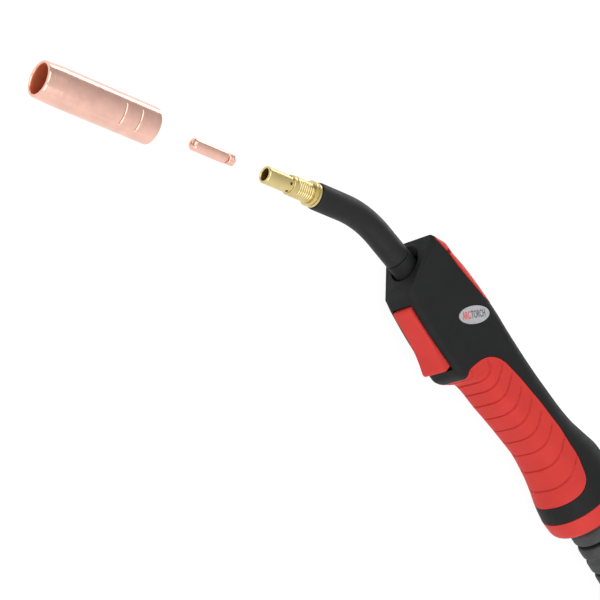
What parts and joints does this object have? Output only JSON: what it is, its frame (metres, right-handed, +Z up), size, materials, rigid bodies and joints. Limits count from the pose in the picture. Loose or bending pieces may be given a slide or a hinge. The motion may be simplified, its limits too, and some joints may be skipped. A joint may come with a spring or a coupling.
{
  "type": "MIG welding torch",
  "caption": "Handheld MIG welding torch with bent neck, contact tip and gas nozzle drawn off the diffuser, thumb trigger, coiled lead and machine connector.",
  "frame": {"origin": "bottom centre of the torch, lead and connector left out, as it lies on its right side", "axes": "+X from the cable boot towards the nozzle along the handle, +Y towards the trigger side, +Z up, out of the torch's left side"},
  "size_m": [0.5534, 0.3149, 0.0424],
  "materials": {
    "badge": "satin silver",
    "soft_black": "matt moulded rubber",
    "cable_jacket": "matt rubber jacket",
    "brass": "turned, bright",
    "copper": "polished copper",
    "grey_plastic": "matt",
    "black_plastic": "satin, fine texture",
    "neck_sleeve": "satin",
    "red_plastic": "satin",
    "insulator": "matt fibre",
    "steel": "zinc plated",
    "wire_red": "insulation",
    "wire_white": "insulation"
  },
  "bodies": {
    "torch": {"badge_left": "badge", "badge_right": "badge", "cable_coil": "cable_jacket", "cable_ferrule": "brass", "cable_lead": "cable_jacket", "cable_stub": "cable_jacket", "cable_tail": "cable_jacket", "conduit_coupler": "brass", "connector_boot": "soft_black", "connector_face_plate": "grey_plastic", "connector_housing": "black_plastic", "connector_plug": "brass", "contact_pin_1": "brass", "contact_pin_2": "brass", "control_wire_red": "wire_red", "control_wire_white": "wire_white", "gas_diffuser": "brass", "grip_pad": "red_plastic", "housing_left": "black_plastic", "housing_right": "black_plastic", "housing_screw_1": "steel", "housing_screw_2": "steel", "housing_screw_3": "steel", "housing_screw_4": "steel", "microswitch": "black_plastic", "neck_collar": "black_plastic", "neck_conductor_tube": "copper", "neck_insulation": "neck_sleeve", "neck_set_screw": "steel", "neck_socket": "brass", "plug_seal": "soft_black", "rear_ring": "red_plastic", "switch_carrier": "grey_plastic", "top_cap": "red_plastic", "trigger_pin": "steel", "trigger_spring": "steel", "wire_liner": "steel"},
    "nozzle": {"gas_nozzle": "copper", "nozzle_insulator": "insulator", "nozzle_thread_collar": "brass"},
    "tip": {"contact_tip": "copper"},
    "trigger": {"trigger": "red_plastic"},
    "plunger": {"switch_plunger": "grey_plastic"},
    "boot": {"cable_boot": "soft_black", "swivel_ball": "black_plastic"},
    "nut": {"connector_nut": "black_plastic"}
  },
  "joints": [
    {"name": "nozzle_slide", "type": "slide", "parent": "torch", "child": "nozzle", "axis": [0.7638, 0.6455, 0], "range_m": [-0.098, 0]},
    {"name": "tip_slide", "type": "slide", "parent": "torch", "child": "tip", "axis": [0.7638, 0.6455, 0], "range_m": [-0.0235, 0]},
    {"name": "trigger_pivot", "type": "hinge", "parent": "torch", "child": "trigger", "pos_m": [-0.0007, -0.0329, 0.02118], "axis": [0, 0, 1], "range_deg": [0, 5], "stiffness_Nm_per_rad": 0.6, "springref_deg": -5.73, "deforming": ["trigger_spring"]},
    {"name": "plunger_slide", "type": "slide", "parent": "torch", "child": "plunger", "axis": [0, -1, 0], "range_m": [0, 0.0011]},
    {"name": "boot_swivel", "type": "hinge", "parent": "torch", "child": "boot", "pos_m": [-0.1512, -0.0629, 0.02118], "axis": [1, 0, 0], "range_deg": [-90, 90]},
    {"name": "nut_spin", "type": "hinge", "parent": "torch", "child": "nut", "pos_m": [-0.1072, -0.2055, 0.02118], "axis": [1, 0, 0], "continuous": true}
  ],
  "couplings": [
    {"joint": "plunger_slide", "follows": "trigger_pivot", "m_per_rad": 0.012}
  ]
}
